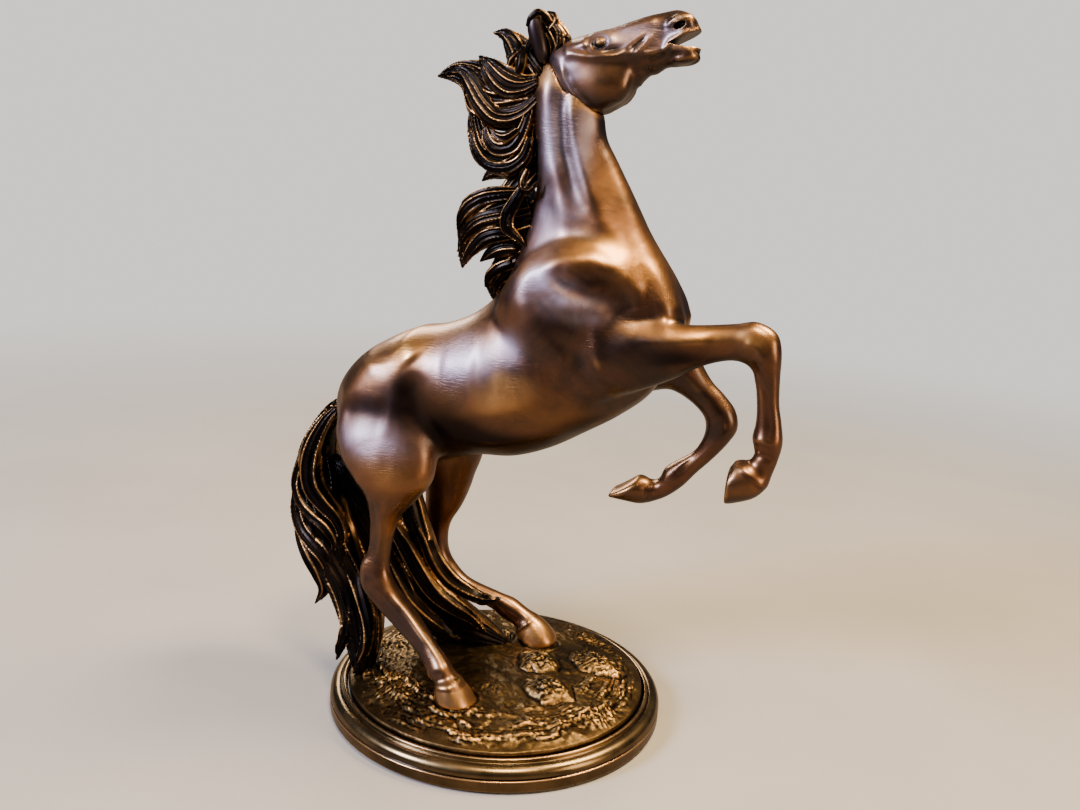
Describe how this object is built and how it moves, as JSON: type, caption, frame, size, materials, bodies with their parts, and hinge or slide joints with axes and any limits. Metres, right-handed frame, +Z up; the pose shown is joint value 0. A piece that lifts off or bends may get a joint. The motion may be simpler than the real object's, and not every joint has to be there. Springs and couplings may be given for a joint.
{
  "type": "horse statuette",
  "caption": "Bronze statuette of a rearing horse with flowing mane and tail, on modelled rocky ground and a round stepped plinth.",
  "frame": {"origin": "centre of the underside of the felt pad under the round plinth", "axes": "+Z up, +X the way the horse faces, +Y the horse's left side"},
  "size_m": [0.2318, 0.16, 0.3216],
  "materials": {
    "body_bronze": "glossy dark brown patina with copper highlights",
    "hair_bronze": "near-black patina with rubbed golden ridges",
    "ground_bronze": "rough olive-brown patina with rubbed golden high spots",
    "plinth_bronze": "smooth polished dark bronze",
    "fixing_brass": "plain machined",
    "felt": "dull felt"
  },
  "bodies": {
    "root": {"plinth": "plinth_bronze", "felt_pad": "felt", "ground_casting": "ground_bronze", "torso_casting": "body_bronze", "neck_casting": "body_bronze", "head_casting": "body_bronze", "right_ear": "body_bronze", "left_ear": "body_bronze", "forelock": "hair_bronze", "mane_crest_lock": "hair_bronze", "mane_upper_lock": "hair_bronze", "mane_middle_lock": "hair_bronze", "mane_lower_lock": "hair_bronze", "right_foreleg": "body_bronze", "left_foreleg": "body_bronze", "right_hind_leg": "body_bronze", "left_hind_leg": "body_bronze", "tail_casting": "hair_bronze", "tail_inner_lock": "hair_bronze", "foreleg_dowels": "fixing_brass", "hind_leg_dowels": "fixing_brass", "neck_pins": "fixing_brass", "head_dowel": "fixing_brass", "mane_pins": "fixing_brass", "tail_pin": "fixing_brass", "hoof_studs": "fixing_brass", "stud_nuts": "fixing_brass", "stud_washers": "fixing_brass", "base_screws": "fixing_brass"}
  },
  "joints": []
}
